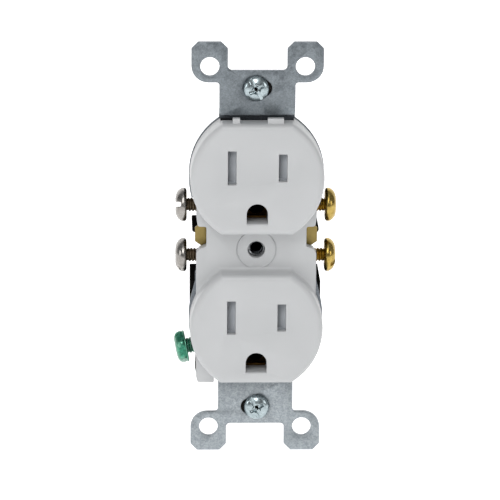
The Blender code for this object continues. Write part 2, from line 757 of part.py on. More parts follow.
def make_ground_screw():
    """The green screw, with a slotted six-sided head on a round flange."""
    outward = ground_screw_direction()
    height = 2.8
    flange = [(0, 0.6), (4.25, 0.6), (4.25, 0)]
    shank = [(GROUND_SHANK, 0), (GROUND_SHANK, -7.4), (1.4, -8.0), (0, -8.0)]
    hexagon = [(0, height), (3.5, height), (4.15, 2.3), (4.15, 0.3), (0, 0.3)]
    screw = turned("ground_blank", flange + shank, GROUND_HEAD, outward, 18)
    join(screw, turned("ground_hexagon", hexagon, GROUND_HEAD, outward, 6))
    along = Vector((0, 1, 0.2)).cross(outward)
    cut(screw, driver_slot("ground_slot", GROUND_HEAD, outward, along, 8, 1.0, height, 1.0))
    node("ground_screw", screw, GREEN, 0.35, 0.6, GROUND_HEAD)


def make_mounting_screws():
    """Two long screws with a slot and a cross in their heads, held in the strap's oblong holes."""
    slot_angle = math.radians(120)
    outward = Vector((0, -1, 0))
    along = Vector((math.cos(slot_angle), 0, math.sin(slot_angle)))
    height = 2.0
    for outlet, up in (("upper", 1), ("lower", -1)):
        name = f"{outlet}_mounting_screw"
        at = (MOUNTING_SCREW_X[outlet], EAR_FRONT - GAP, up * MOUNTING_SCREW_Z)
        profile = screw_profile(3.2, height, SCREW_RADIUS, 12.0)
        screw = turned(f"{name}_blank", profile, at, outward)
        for length, run in ((8.0, along), (4.0, along.cross(outward))):
            cut(screw, driver_slot(f"{name}_slot_{length}", at, outward, run, length, 0.9, height, 0.9))
        node(name, screw, STEEL, 0.35, 1.0, at)


def make_screw_retainers():
    """The fibre squares behind the strap that keep the mounting screws from falling out."""
    half = 4.1
    corner_radius = 0.8
    square = ((-half, -half), (half, -half), (half, half), (-half, half))
    for outlet, up in (("upper", 1), ("lower", -1)):
        name = f"{outlet}_screw_retainer"
        x = MOUNTING_SCREW_X[outlet]
        z = up * MOUNTING_SCREW_Z
        corners = [(x + right, z + above, corner_radius) for right, above in square]
        washer = slab(f"{name}_blank", rounded(corners, 2), "Y", EAR_BACK + GAP, EAR_BACK + 1.5)
        cut(washer, rod(f"{name}_bore", (x, -2, z), (x, 4, z), LOOSE_HOLE))
        node(name, washer, FIBRE, 0.9, 0.0, (x, EAR_BACK + GAP, z))


def make_rivets():
    """The short rivets of the ground contacts, and the long ones that clamp cover, strap and body."""
    short_head = [(0, 0.8), (1.4, 0.7), (2.0, 0.3), (2.0, 0), (1.1, 0)]
    short_tail = [(1.1, -2.7), (1.9, -2.7), (1.9, -3.4), (0, -3.4)]
    long_head = [(0, 1.5), (1.9, 1.4), (2.6, 0.8), (2.6, 0), (1.25, 0)]
    for outlet in FACE_Z:
        at = (0, COVER_BACK, ground_z(outlet) + GROUND_RIVET_ABOVE_PIN)
        name = f"{outlet}_ground_rivet"
        node(name, turned(name, short_head + short_tail, at, (0, -1, 0), 16), BRASS, 0.35, 1.0)
        at = (0, RIVET_HEAD_Y[outlet], fastener_z(outlet))
        length = RIVET_HEAD_Y[outlet] + 3.5
        name = f"{outlet}_assembly_rivet"
        long = long_head + [(1.25, -length), (0, -length)]
        node(name, turned(name, long, at, (0, 1, 0), 16), STEEL, 0.35, 1.0)


def make_ground_contacts():
    """A flat tab under the strap, two leaves that grip the pin, and a lip that shows in the hole."""
    for outlet in FACE_Z:
        z = ground_z(outlet)
        name = f"{outlet}_ground_contact"
        corners = [(3.2, -3.2), (3.2, 3.2), (2.3, 3.8), (2.3, 8.1)]
        tab = mirrored([(x, z + height) for x, height in corners])
        contact = slab(f"{name}_tab", tab, "Y", BODY_FRONT, BODY_FRONT + 0.6)
        for side in (-1, 1):
            leaf = [(2.6, 3.2), (3.2, 3.2), (2.75, 7.6), (3.2, 12.0), (2.6, 12.0), (2.15, 7.6)]
            leaf = [(side * x, y) for x, y in leaf]
            join(contact, slab(f"{name}_leaf_{side}", leaf, "Z", z - 2.4, z + 2.4))
        cut(contact, rod(f"{name}_pin_hole", (0, 0, z), (0, 5, z), 2.45, 20))
        join(contact, box(f"{name}_lip", (-2.5, 2.5), (-0.7, 0.3), (z - 3.0, z - 2.1)))
        join(contact, box(f"{name}_lip_neck", (-1.6, 1.6), (0.1, 3.2), (z - 2.95, z - 2.55)))
        rivet = z + GROUND_RIVET_ABOVE_PIN
        cut(contact, rod(f"{name}_rivet_hole", (0, 0, rivet), (0, 5, rivet), 1.4, 16))
        node(name, contact, BRASS, 0.35, 1.0)


# The shutters, with their springs and guides.


def ramp_window(name, side, z):
    """A blade's window in the shutter, opened towards its slot by a ramp."""
    slot = side * SLOT_X
    window = slot - SHUTTER_TRAVEL
    front, back = SHUTTER_Y
    top = front - 0.9
    outline = [(window - 1.2, top), (slot + 2.3, top), (slot + 0.9, front), (window + 1.2, back)]
    outline += [(window + 1.2, back + 0.5), (window - 1.2, back + 0.5)]
    half = SLOT_HALF_HEIGHT[side] - 0.25
    return slab(name, outline, "Z", z - half, z + half)


def make_shutter(outlet):
    """The slider that closes both slots, with a lug that the spring pushes."""
    z = slot_z(outlet)
    half = SHUTTER_HALF_HEIGHT
    lug = [(-5.4, z - half), (-5.4, z - 7.0), (LUG_FACE_X, z - 7.0), (LUG_FACE_X, z - half)]
    outline = [(-11.0, z - half)] + lug + [(8.2, z - half), (8.2, z + half), (-11.0, z + half)]
    shutter = slab(f"{outlet}_slider", outline, "Y", *SHUTTER_Y)
    for side in (-1, 1):
        cut(shutter, ramp_window(f"{outlet}_shutter_window_{side}", side, z))
    node(f"{outlet}_shutter", shutter, GREY, 0.4, 0.0, (0, SHUTTER_Y[0], z))


def make_shutter_guide(outlet):
    """The plate behind a shutter, with a post for the spring and four feet on the strap."""
    z = slot_z(outlet)
    half = SHUTTER_HALF_HEIGHT
    guide = box(f"{outlet}_plate", (-11.4, 11.4), GUIDE_Y, (z - half, z + half))
    post = (POST_FACE_X, POST_FACE_X + 1.2)
    join(guide, box(f"{outlet}_post_foot", post, GUIDE_Y, (z - 7.2, z - half + 1)))
    join(guide, box(f"{outlet}_post", post, (SHUTTER_Y[0], GUIDE_Y[1] - 0.4), (z - 7.2, z - half - 0.4)))
    for side in (-1, 1):
        for up in (-1, 1):
            foot = (side * 10.1, z + up * 3.3)
            ends = ((foot[0], GUIDE_Y[0] + 0.5, foot[1]), (foot[0], COVER_BACK, foot[1]))
            join(guide, rod(f"{outlet}_foot_{side}_{up}", *ends, 1.1, 12))
        across = (side * SLOT_X - 1.3, side * SLOT_X + 1.3)
        cut(guide, box(f"{outlet}_guide_slot_{side}", across, (-5, 0), (z - 4.2, z + 4.2)))
    node(f"{outlet}_shutter_guide", guide, GREY, 0.4, 0.0)


def make_shutter_spring(outlet):
    """A compression spring along X, between the shutter's lug and the guide's post."""
    name = f"{outlet}_shutter_spring"
    start = LUG_FACE_X + GAP + SPRING_WIRE
    end = POST_FACE_X - GAP - SPRING_WIRE
    steps = SPRING_TURNS * 8
    curve = bpy.data.curves.new(name, "CURVE")
    curve.dimensions = "3D"
    curve.bevel_depth = SPRING_WIRE * MM
    curve.bevel_resolution = 2
    curve.use_fill_caps = True
    spline = curve.splines.new("POLY")
    spline.points.add(steps)
    for i, point in enumerate(spline.points):
        angle = 2 * math.pi * SPRING_TURNS * i / steps
        x = start + (end - start) * i / steps
        point.co = (x * MM, SPRING_RADIUS * MM * math.cos(angle), SPRING_RADIUS * MM * math.sin(angle), 1)
    obj = bpy.data.objects.new(name, curve)
    obj.location = Vector((0, sum(SHUTTER_Y) / 2 + 0.2, slot_z(outlet) - SPRING_BELOW_SLOTS)) * MM
    TOOLS.objects.link(obj)
    node(name, baked(obj, name), STEEL, 0.3, 1.0)


make_cover()
make_strap()
make_body()
make_terminal("neutral_terminal", -1, BRASS)
make_terminal("hot_terminal", 1, BRASS)
make_clamps()
make_terminal_screws()
make_ground_screw()
make_mounting_screws()
make_screw_retainers()
make_rivets()
make_ground_contacts()
for outlet_name in FACE_Z:
    make_shutter(outlet_name)
    make_shutter_guide(outlet_name)
    make_shutter_spring(outlet_name)
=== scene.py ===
"""The looks of a duplex wall outlet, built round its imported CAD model.

X is to the right, Y into the wall and Z up. Shapes are worked out in millimetres, in the frame of the
CAD, and MM turns them into metres. Depths and centres come from the boxes of the CAD nodes.
"""

import json
import math

import bmesh
import bpy
from mathutils import Matrix, Vector


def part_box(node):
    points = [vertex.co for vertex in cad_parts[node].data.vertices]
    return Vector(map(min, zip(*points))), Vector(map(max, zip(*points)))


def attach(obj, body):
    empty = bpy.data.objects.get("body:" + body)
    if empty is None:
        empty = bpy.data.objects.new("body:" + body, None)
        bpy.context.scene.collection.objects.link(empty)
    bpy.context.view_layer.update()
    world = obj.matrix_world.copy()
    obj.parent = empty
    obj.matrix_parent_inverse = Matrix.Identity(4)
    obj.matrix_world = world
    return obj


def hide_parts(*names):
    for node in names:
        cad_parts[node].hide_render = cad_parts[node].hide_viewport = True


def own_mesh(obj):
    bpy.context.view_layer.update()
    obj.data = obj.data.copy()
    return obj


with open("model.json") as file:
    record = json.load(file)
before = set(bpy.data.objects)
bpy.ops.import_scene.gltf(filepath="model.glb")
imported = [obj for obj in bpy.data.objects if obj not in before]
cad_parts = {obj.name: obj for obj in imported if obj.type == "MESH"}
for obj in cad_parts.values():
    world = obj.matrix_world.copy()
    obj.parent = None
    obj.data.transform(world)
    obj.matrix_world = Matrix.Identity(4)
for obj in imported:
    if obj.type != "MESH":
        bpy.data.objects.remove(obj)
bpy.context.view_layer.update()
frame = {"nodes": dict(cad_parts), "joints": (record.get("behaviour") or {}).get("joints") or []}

MM = 0.001
PAST = 3.0  # how far a cutter runs past the face that it opens
OVERLAP = 1.0  # how far a solid runs into the one that it joins


def span(node, axis):
    """The lowest and highest value of a CAD node along an axis, in millimetres."""
    low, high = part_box(node)
    index = "XYZ".index(axis)
    return low[index] / MM, high[index] / MM


def centre(node, axis):
    low, high = span(node, axis)
    return (low + high) / 2


# Sizes that the boxes of the nodes give.
FACE_FRONT, COVER_BACK = span("front_cover", "Y")
EAR_FRONT = span("mounting_strap", "Y")[0]
EAR_END = span("mounting_strap", "Z")[1]
LOBE_RADIUS = span("mounting_strap", "X")[1]
SCREW_Z = centre("upper_screw_retainer", "Z")

# Sizes of the cover that its box doesn't give. As signs, 1 is right or up, and -1 is left or down.
FACE_Z = {"upper": 19.45, "lower": -19.45}
FACE_RADIUS = 16.85
FACE_FLAT = 14.3
FACE_CORNER = 1.4
FACE_EDGE = 1.5
FACE_DRAFT = 0.06
SLOT_X = 6.35
SLOT_ABOVE_FACE = 3.18
SLOT_WIDTH = 2.15
SLOT_BACK = -4.0
SLOT_HALF_HEIGHT = {-1: 4.35, 1: 3.55}
GROUND_BELOW_SLOTS = 11.9
GROUND_RADIUS = 2.65
GROUND_FLAT = 2.5
FASTENER_ABOVE_SLOTS = 7.7
CAVITY_FRONT = -5.4
COVER_WALL = 1.95
SLEEVE_WALL = 1.6
SLEEVE_BACK = -1.0
BOSS_RADIUS = 2.6
BOSS_BORE = 1.55
BOSS_BORE_FRONT = -3.9
FILLET_RADIUS = 0.9
WEB_FRONT = -2.0
WEB_HALF_WIDTH = 15.15
WEB_TOP = 13.0
WAIST_HALF_WIDTH = 12.6
RIBS_X = ((-6.25, -4.4), (2.45, 6.5))
RIBS_Y = (-6.1, -4.4)
RIB_HEIGHT = 1.25
RELIEF_HALF_WIDTH = 9.2
RELIEF_DEPTH = 0.8
DISH_DEPTH = 0.35
DISH_Z = 0.15
CENTRE_HOLE_RADIUS = 2.2

# Sizes of the strap. Its upper end steps back higher up, where the step shows above the face.
EAR_BACK = 0.0
EAR_HOLE_X = 11.9
EAR_HOLE_Z = 47.15
EAR_HOLE_RADIUS = 2.4
NECK_HALF_WIDTH = 9.5
STEP_Z = {1: 34.6, -1: 34.05}
STEP_HALF_WIDTH = {1: 6.9, -1: 8.6}
STEP_THICKNESS = 1.2
STEP_BEND = 0.4
STEP_BACK = 2.2
BRIDGE_FRONT = 1.4
BRIDGE_BACK = 2.6
WINDOW_X = (4.1, 9.0)
WINDOW_HALF_HEIGHT = 5.6
CONTACT_HOLE = 3.9
GROUND_RIVET_HOLE = 1.4
GROUND_RIVET_ABOVE = 6.2
ASSEMBLY_RIVET_HOLE = 1.6
OBLONG_LENGTH = 7.3
OBLONG_WIDTH = 4.1
COLLAR_HOLE = 1.45
LUG_X = (-14.6, -13.4)
LUG_Z = (-31.0, -24.0)
LUG_BACK = 11.0
LUG_GAP = 0.4

# Sizes of the screws.
THREAD_PITCH = 0.794
THREAD_DEPTH = 0.3
TERMINAL_HEAD_RADIUS = 4.3
TERMINAL_HEAD_HEIGHT = 2.9
SHANK_RADIUS = 1.75
SHANK_LENGTH = 8.0
RETAINED_SHANK = 12.0
GROUND_SHANK = 2.05
GROUND_BORE_GAP = 0.3

# The camera's fit: its turn round the object, its distance and lens, and where the origin lies in it.
VIEW_AZIMUTH = math.radians(-1.80)
VIEW_ELEVATION = math.radians(15.68)
VIEW_ROLL = math.radians(0.417)
VIEW_DISTANCE = 858.0
VIEW_OFFSET = (1.552, 0.507)
LENS = 244.4


# Plane outlines, as lists of (across, up).


def arc(middle, radius, start, end, steps):
    """Points along an arc from start to end, in degrees, with both ends."""
    angles = [math.radians(start + (end - start) * i / steps) for i in range(steps + 1)]
    return [(middle[0] + radius * math.cos(a), middle[1] + radius * math.sin(a)) for a in angles]


def mirrored(right_side):
    """The right side of an outline, followed by its mirror image in the axis x = 0."""
    return right_side + [(-x, y) for x, y in reversed(right_side)]


def face_outline(z, inset=0.0):
    """A circle cut flat above and below, with rounded corners, drawn in by an inset."""
    radius = FACE_RADIUS - inset
    flat = FACE_FLAT - inset
    corner = FACE_CORNER - 0.6 * inset
    x = math.sqrt((radius - corner) ** 2 - (flat - corner) ** 2)
    lean = math.degrees(math.atan2(flat - corner, x))
    side = arc((0, z), radius, -lean, lean, 40)
    top = arc((x, z + flat - corner), corner, lean, 90, 6)[1:]
    bottom = arc((x, z - flat + corner), corner, -90, -lean, 6)[:-1]
    return mirrored(bottom + side + top)


def arch(z, radius, flat):
    """A half round on top of a rectangle, as a ground pin's hole has."""
    return arc((0, z), radius, 0, 180, 28) + [(-radius, z - flat), (radius, z - flat)]


def oblong(z, length, width):
    """A level slot with round ends, across the middle of the device."""
    x = (length - width) / 2
    return arc((x, z), width / 2, -90, 90, 14) + arc((-x, z), width / 2, 90, 270, 14)


def rounded(corners, steps=8):
    """An outline from corners (across, up, radius), each rounded by an arc that touches both sides."""
    points = []
    for i, (across, up, radius) in enumerate(corners):
        here = Vector((across, up))
        if not radius:
            points.append((across, up))
            continue
        before = (Vector(corners[i - 1][:2]) - here).normalized()
        after = (Vector(corners[(i + 1) % len(corners)][:2]) - here).normalized()
        half = math.acos(max(-1.0, min(1.0, before.dot(after)))) / 2
        middle = here + (before + after).normalized() * (radius / math.sin(half))
        first = here + before * (radius / math.tan(half)) - middle
        last = here + after * (radius / math.tan(half)) - middle
        start = math.atan2(first.y, first.x)
        turn = (math.atan2(last.y, last.x) - start + math.pi) % (2 * math.pi) - math.pi
        points += arc(middle, radius, math.degrees(start), math.degrees(start + turn), steps)
    return points


# Solids in metres, and what cuts and joins them.


# Where a point (a, b) of an outline lies when the outline stands across an axis, at a depth along it.
PLANES = {
    "X": lambda a, b, painted_depth_shade: (painted_depth_shade, a, b),
    "Y": lambda a, b, painted_depth_shade: (a, painted_depth_shade, b),
}


def new_object(name, bm):
    bmesh.ops.recalc_face_normals(bm, faces=bm.faces)
    mesh = bpy.data.meshes.new(name)
    bm.to_mesh(mesh)
    bm.free()
    obj = bpy.data.objects.new(name, mesh)
    bpy.context.scene.collection.objects.link(obj)
    return obj


def loft(name, rings):
    """A closed solid through rings of equally many points in millimetres, capped at both ends."""
    bm = bmesh.new()
    made = [[bm.verts.new(Vector(point) * MM) for point in ring] for ring in rings]
    bm.faces.new(made[0])
    bm.faces.new(made[-1])
    for near, far in zip(made, made[1:]):
        for i in range(len(near)):
            bm.faces.new((near[i], near[i - 1], far[i - 1], far[i]))
    return new_object(name, bm)


def slab(name, outline, axis, low, high):
    """An outline drawn out along an axis, from a low to a high value."""
    place = PLANES[axis]
    return loft(name, [[place(a, b, painted_depth_shade) for a, b in outline] for painted_depth_shade in (low, high)])


def box(name, x, y, z):
    """A box from its two ends along each axis."""
    return slab(name, [(x[0], z[0]), (x[1], z[0]), (x[1], z[1]), (x[0], z[1])], "Y", *sorted(y))


def aimed(at, direction):
    """The matrix that takes +Z at the origin to a direction from a point."""
    turn = Vector((0, 0, 1)).rotation_difference(Vector(direction))
    return Matrix.Translation(Vector(at) * MM) @ turn.to_matrix().to_4x4()


def lathe(name, profile, at, direction, steps=48, wobble=None, closed=False):
    """A profile of (radius, height) turned about an axis.

    wobble takes an angle, a radius and a height, and gives the radius there. A closed profile ends where it
    starts, as a ring's does.
    """
    bm = bmesh.new()
    rings = []
    for radius, height in profile:
        if radius == 0:
            rings.append([bm.verts.new((0, 0, height * MM))])
            continue
        ring = []
        for i in range(steps):
            angle = 2 * math.pi * i / steps
            reach = (wobble(angle, radius, height) if wobble else radius) * MM
            ring.append(bm.verts.new((reach * math.cos(angle), reach * math.sin(angle), height * MM)))
        rings.append(ring)
    for near, far in zip(rings, rings[1:] + rings[:1] if closed else rings[1:]):
        for i in range(steps):
            corners = [near[i % len(near)], near[(i - 1) % len(near)]]
            corners += [far[(i - 1) % len(far)], far[i % len(far)]]
            bm.faces.new(list(dict.fromkeys(corners)))
    bmesh.ops.transform(bm, matrix=aimed(at, direction), verts=bm.verts)
    return new_object(name, bm)


def rod(name, start, end, radius, steps=40):
    """A round bar between two points."""
    along = Vector(end) - Vector(start)
    length = along.length
    return lathe(name, [(0, length), (radius, length), (radius, 0), (0, 0)], start, along, steps)


def combine(obj, operation, others):
    """Cuts, joins or intersects an object with others at once, and removes them."""
    for other in others:
        modifier = obj.modifiers.new("boolean", "BOOLEAN")
        modifier.operation = operation
        modifier.solver = "EXACT"
        modifier.object = other
        bake(obj)
        bpy.data.objects.remove(other, do_unlink=True)
    return obj


def join(obj, *others):
    return combine(obj, "UNION", others)


def cut(obj, *others):
    return combine(obj, "DIFFERENCE", others)


def bake(obj):
    """Turns the object's modifiers into its mesh."""
    bpy.context.view_layer.update()
    evaluated = obj.evaluated_get(bpy.context.evaluated_depsgraph_get())
    mesh = bpy.data.meshes.new_from_object(evaluated)
    obj.modifiers.clear()
    obj.data = mesh


def ease_edges(obj, width):
    """Rounds every sharp edge a little, as moulding and stamping leave it."""
    sharp = 35
    bm = bmesh.new()
    bm.from_mesh(obj.data)
    bmesh.ops.remove_doubles(bm, verts=bm.verts, dist=2e-6)
    bmesh.ops.dissolve_limit(bm, angle_limit=math.radians(0.5), verts=bm.verts, edges=bm.edges)
    bm.to_mesh(obj.data)
    bm.free()
    bevel = obj.modifiers.new("eased", "BEVEL")
    bevel.width = width * MM
    bevel.segments = 2
    bevel.limit_method = "ANGLE"
    bevel.angle_limit = math.radians(sharp)
    bevel.use_clamp_overlap = False
    bake(obj)
    smooth(obj, sharp)


def smooth(obj, angle):
    """Smooth shading, with an edge wherever two faces meet at more than an angle in degrees."""
    obj.data.shade_smooth()
    obj.data.set_sharp_from_angle(angle=math.radians(angle))


def piece(obj, name, body, material, slot, *nodes):
    """Names and dresses a finished piece, which rides on its body and stands for CAD nodes."""
    obj.name = name
    obj.data.name = name
    obj.data.materials.clear()
    obj.data.materials.append(material)
    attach(obj, body)
    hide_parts(*nodes)


# Materials. Patterns are in object coordinates, so they stay where they are on a piece that moves.


class Surface:
    """A Principled material with helpers that vary its colour, roughness and height."""

    def __init__(self, name, metallic=0.0, coat=0.0, specular=0.5):
        self.material = bpy.data.materials.new(name)
        self.material.use_nodes = True
        self.nodes = self.material.node_tree.nodes
        self.links = self.material.node_tree.links
        self.shader = self.nodes["Principled BSDF"]
        self.shader.inputs["Metallic"].default_value = metallic
        self.shader.inputs["Coat Weight"].default_value = coat
        self.shader.inputs["Specular IOR Level"].default_value = specular
        self.place = self.nodes.new("ShaderNodeTexCoord").outputs["Object"]
        self.height = None

    def stretched(self, scale):
        """The place, with each axis multiplied, so that a pattern runs along one of them."""
        mapping = self.nodes.new("ShaderNodeMapping")
        mapping.inputs["Scale"].default_value = scale
        self.links.new(self.place, mapping.inputs["Vector"])
        return mapping.outputs["Vector"]

    def noise(self, size, detail=3.0, roughness=0.55, stretch=(1, 1, 1)):
        """Noise with features about a size across, in millimetres."""
        noise = self.nodes.new("ShaderNodeTexNoise")
        noise.inputs["Scale"].default_value = 1 / (size * MM)
        noise.inputs["Detail"].default_value = detail
        noise.inputs["Roughness"].default_value = roughness
        self.links.new(self.stretched(stretch), noise.inputs["Vector"])
        return noise.outputs["Fac"]

    def cells(self, size):
        """Flat cells of random value, as in a zinc spangle."""
        cells = self.nodes.new("ShaderNodeTexVoronoi")
        cells.inputs["Scale"].default_value = 1 / (size * MM)
        self.links.new(self.place, cells.inputs["Vector"])
        grey = self.nodes.new("ShaderNodeRGBToBW")
        self.links.new(cells.outputs["Color"], grey.inputs["Color"])
        return grey.outputs["Val"]

    def along(self, axis, start, end):
        """0 to 1 from a start to an end along an axis, in millimetres."""
        split = self.nodes.new("ShaderNodeSeparateXYZ")
        self.links.new(self.place, split.inputs["Vector"])
        return self.remap(split.outputs[axis], start * MM, end * MM, 0, 1)

    def remap(self, value, low, high, new_low, new_high):
        """A value scaled from one range to another, and held inside it."""
        remap = self.nodes.new("ShaderNodeMapRange")
        ends = {"From Min": low, "From Max": high, "To Min": new_low, "To Max": new_high}
        for key, number in ends.items():
            remap.inputs[key].default_value = number
        self.links.new(value, remap.inputs["Value"])
        return remap.outputs["Result"]

    def maths(self, operation, first, second):
        """The outcome of an operation on two values, each a number or a socket."""
        maths = self.nodes.new("ShaderNodeMath")
        maths.operation = operation
        for i, value in enumerate((first, second)):
            if isinstance(value, (int, float)):
                maths.inputs[i].default_value = value
            else:
                self.links.new(value, maths.inputs[i])
        return maths.outputs["Value"]

    def ramp(self, value, *stops):
        """A colour ramp through stops of (position, colour)."""
        ramp = self.nodes.new("ShaderNodeValToRGB")
        elements = ramp.color_ramp.elements
        while len(elements) < len(stops):
            elements.new(0.5)
        for element, (position, colour) in zip(elements, stops):
            element.position = position
            element.color = (*colour, 1)
        self.links.new(value, ramp.inputs["Fac"])
        return ramp.outputs["Color"]

    def mix(self, factor, first, second, blend="MIX"):
        """Two colours mixed or blended by a factor."""
        mix = self.nodes.new("ShaderNodeMix")
        mix.data_type = "RGBA"
        mix.blend_type = blend
        if isinstance(factor, (int, float)):
            mix.inputs[0].default_value = factor
        else:
            self.links.new(factor, mix.inputs[0])
        for socket, value in ((mix.inputs[6], first), (mix.inputs[7], second)):
            if isinstance(value, tuple):
                socket.default_value = (*value, 1)
            else:
                self.links.new(value, socket)
        return mix.outputs[2]

    def edges(self, low=0.52, high=0.62):
        """1 on the outer edges, where handling wears a surface, and 0 elsewhere."""
        geometry = self.nodes.new("ShaderNodeNewGeometry")
        return self.remap(geometry.outputs["Pointiness"], low, high, 0, 1)

    def colour(self, value):
        self.links.new(value, self.shader.inputs["Base Color"])
        return self

    def rough(self, value, low, high):
        """A roughness between two limits, which follows a pattern."""
        self.links.new(self.remap(value, 0.3, 0.7, low, high), self.shader.inputs["Roughness"])
        return self

    def bump(self, value, painted_depth_shade, strength=0.5):
        """Adds a height to the surface, a depth in millimetres."""
        bump = self.nodes.new("ShaderNodeBump")
        bump.inputs["Distance"].default_value = painted_depth_shade * MM
        bump.inputs["Strength"].default_value = strength
        self.links.new(value, bump.inputs["Height"])
        if self.height:
            self.links.new(self.height, bump.inputs["Normal"])
        self.height = bump.outputs["Normal"]
        self.links.new(self.height, self.shader.inputs["Normal"])
        return self


def white_plastic():
    made = Surface("white_plastic", coat=0.08, specular=0.45)
    blotches = made.noise(16, 2.0)
    made.colour(made.ramp(blotches, (0.3, (0.435, 0.442, 0.448)), (0.7, (0.461, 0.468, 0.474))))
    made.rough(made.noise(5, 3.0), 0.34, 0.46)
    made.bump(made.noise(0.25, 2.0), 0.004, 0.25)
    return made.bump(made.noise(7, 2.0), 0.02, 0.3).material


def black_plastic():
    made = Surface("black_plastic", specular=0.0)
    dust = made.noise(2.5, 4.0, 0.7)
    made.colour(made.ramp(dust, (0.35, (0.004, 0.004, 0.0038)), (0.8, (0.012, 0.0118, 0.011))))
    made.rough(made.noise(1.2, 3.0), 0.5, 0.7)
    return made.bump(made.noise(0.4, 3.0), 0.01, 0.35).material


def grey_plastic():
    made = Surface("grey_plastic")
    made.colour(made.ramp(made.noise(3, 3.0), (0.3, (0.42, 0.44, 0.47)), (0.7, (0.48, 0.505, 0.535))))
    made.rough(made.noise(1.5, 2.0), 0.35, 0.5)
    return made.bump(made.noise(0.3, 2.0), 0.006, 0.3).material


def grey(value):
    return (value, value, value)


def galvanised_steel():
    """Zinc on steel: a faint spangle, rolling streaks along the strap, and fine pits and scuffs."""
    made = Surface("galvanised_steel", metallic=1.0)
    spangle = made.maths("MULTIPLY", made.cells(1.1), 0.3)
    streaks = made.noise(1.2, 4.0, 0.65, stretch=(1, 1, 0.12))
    cloud = made.noise(9, 3.0)
    pattern = made.maths("ADD", spangle, made.maths("MULTIPLY", streaks, 0.4))
    pattern = made.maths("ADD", pattern, made.maths("MULTIPLY", cloud, 0.3))
    base = made.ramp(pattern, (0.36, (0.37, 0.405, 0.43)), (0.62, (0.49, 0.53, 0.555)))
    scratches = made.noise(0.9, 5.0, 0.75, stretch=(1, 1, 0.5))
    scuffs = made.ramp(scratches, (0.62, grey(0)), (0.72, (0.16, 0.17, 0.18)))
    scuffed = made.mix(0.5, base, scuffs, "ADD")
    # The colour is multiplied by the strap's grain, a tone that darkens towards the top, and painted shade
    # and painted light.
    made.colour(made.mix(1.0, scuffed, strap_grain_and_painted_shading(made), "MULTIPLY"))
    made.rough(pattern, 0.34, 0.56)
    made.bump(streaks, 0.02, 0.3)
    return made.bump(made.noise(0.35, 3.0, 0.7), 0.015, 0.35).material


def strap_grain_and_painted_shading(made):
    """Dark grains, darker towards the top, painted shade towards the back, and painted light just above the
    upper step.
    """
    grain = made.ramp(made.noise(0.45, 3.0, 0.8), (0.35, (0.62, 0.63, 0.64)), (0.65, grey(1)))
    tone = made.ramp(made.along("Z", -10, 38), (0.0, grey(0.86)), (1.0, (0.58, 0.59, 0.60)))
    # Painted shade: darker towards the back, where the bridge lies in the shadowed gap behind the cover.
    painted_depth_shade = made.ramp(made.along("Y", -0.6, 1.0), (0.0, grey(1)), (1.0, (0.55, 0.55, 0.57)))
    # Painted light: a lighter band just above the upper step, which makes up for the darker reflection of
    # the face's shaded top in the plate. It fades out below the ears.
    step_z = STEP_Z[1]
    rise = made.along("Z", step_z - 0.3, step_z + 2.1)
    fall = made.along("Z", step_z + 0.8, step_z + 2.6)
    painted_light_above_step = made.ramp(rise, (0.0, grey(0)), (0.2, (0.24, 0.245, 0.25)))
    below_ears = made.ramp(fall, (0.0, grey(1)), (1.0, grey(0)))
    tone = made.mix(1.0, tone, made.mix(1.0, painted_light_above_step, below_ears, "MULTIPLY"), "ADD")
    return made.mix(1.0, made.mix(1.0, grain, tone, "MULTIPLY"), painted_depth_shade, "MULTIPLY")


def plated(name, dark, light, low, high, size=1.6):
    """Plated or bright metal, with a random tarnish, and lighter on its worn edges."""
    made = Surface(name, metallic=1.0)
    tarnish = made.noise(size, 4.0, 0.6)
    base = made.ramp(tarnish, (0.3, dark), (0.7, light))
    bright = tuple(min(1.0, part * 1.25) for part in light)
    made.colour(made.mix(made.maths("MULTIPLY", made.edges(), 0.6), base, bright))
    made.rough(made.noise(size / 3, 3.0), low, high)
    return made.bump(made.noise(size / 5, 3.0), 0.008, 0.3).material


def green_plating():
    made = Surface("green_plating", metallic=0.75, coat=0.3)
    patches = made.noise(0.8, 4.0, 0.65)
    base = made.ramp(patches, (0.35, (0.004, 0.085, 0.042)), (0.65, (0.035, 0.27, 0.165)))
    worn = made.maths("MULTIPLY", made.edges(0.515, 0.56), 0.7)
    made.colour(made.mix(worn, base, (0.20, 0.46, 0.33)))
    made.rough(made.noise(0.7, 3.0), 0.25, 0.45)
    return made.bump(made.noise(0.4, 3.0), 0.02, 0.35).material


def fibre():
    made = Surface("vulcanised_fibre", specular=0.25)
    strands = made.noise(0.5, 5.0, 0.7, stretch=(1, 1, 0.3))
    made.colour(made.ramp(strands, (0.3, (0.010, 0.009, 0.008)), (0.7, (0.03, 0.027, 0.024))))
    made.rough(strands, 0.75, 0.95)
    return made.bump(strands, 0.03, 0.5).material


